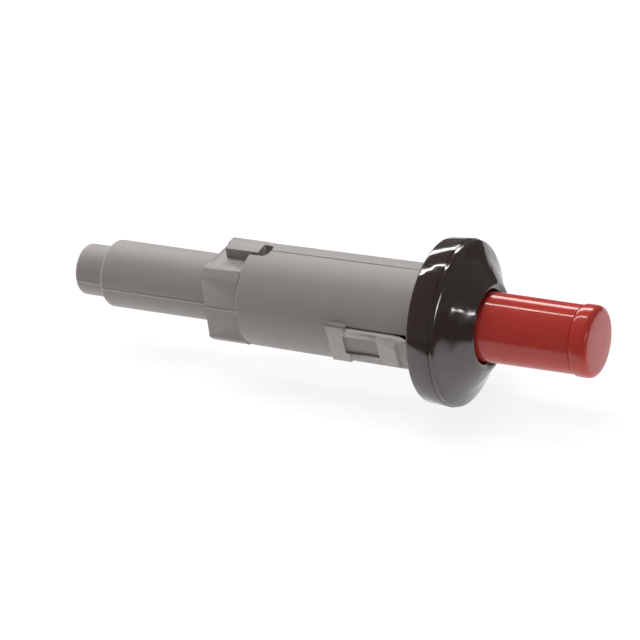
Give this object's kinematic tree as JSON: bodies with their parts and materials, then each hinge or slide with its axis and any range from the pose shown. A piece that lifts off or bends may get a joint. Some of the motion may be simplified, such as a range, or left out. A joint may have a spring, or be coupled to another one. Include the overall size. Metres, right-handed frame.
{
  "type": "piezo igniter",
  "caption": "Panel-mounted push-button piezo igniter: grey moulded barrel with snap tabs, glossy black bezel, long red button, and a shrouded pin terminal at the rear.",
  "frame": {"origin": "centre of the bezel's back face, where the panel sits, on the barrel's axis", "axes": "+X along the axis towards the button, +Z through the barrel's seam, +Y to complete the right hand"},
  "size_m": [0.1195, 0.0348, 0.0348],
  "materials": {
    "body_plastic": "satin moulded warm grey",
    "bezel_plastic": "high gloss black",
    "button_plastic": "glossy red",
    "inner_plastic": "natural moulded",
    "spring_steel": "drawn wire",
    "turned_steel": "turned, zinc plated",
    "fibre": "vulcanised fibre",
    "rubber_ring": "matt",
    "ceramic": "fired ceramic",
    "brass_contact": "bright"
  },
  "bodies": {
    "housing": {"barrel": "body_plastic", "bezel": "bezel_plastic", "rear_housing": "body_plastic", "return_spring": "spring_steel", "impact_spring": "spring_steel", "reset_spring": "spring_steel", "buffer_washer": "fibre", "guide_sleeve": "inner_plastic", "anvil": "turned_steel", "anvil_ring": "rubber_ring", "piezo_front": "ceramic", "centre_plate": "brass_contact", "piezo_rear": "ceramic", "rear_electrode": "brass_contact", "insulating_sleeve": "inner_plastic", "terminal_pin": "brass_contact", "ground_strip": "brass_contact"},
    "push_button": {"button": "button_plastic", "plunger": "inner_plastic"},
    "hammer_carrier": {"thrust_washer": "turned_steel"},
    "hammer": {"hammer": "turned_steel", "cross_pin": "turned_steel"}
  },
  "joints": [
    {"name": "button_press", "type": "slide", "parent": "housing", "child": "push_button", "axis": [-1, 0, 0], "range_m": [0, 0.013], "stiffness_N_per_m": 700, "springref_m": -0.004, "deforming": ["return_spring", "impact_spring"]},
    {"name": "hammer_stroke", "type": "slide", "parent": "housing", "child": "hammer_carrier", "axis": [-1, 0, 0], "range_m": [0, 0.0105], "stiffness_N_per_m": 120, "deforming": ["impact_spring", "reset_spring"]},
    {"name": "hammer_turn", "type": "hinge", "parent": "hammer_carrier", "child": "hammer", "pos_m": [-0.02, 0, 0], "axis": [1, 0, 0], "range_deg": [0, 15]}
  ]
}
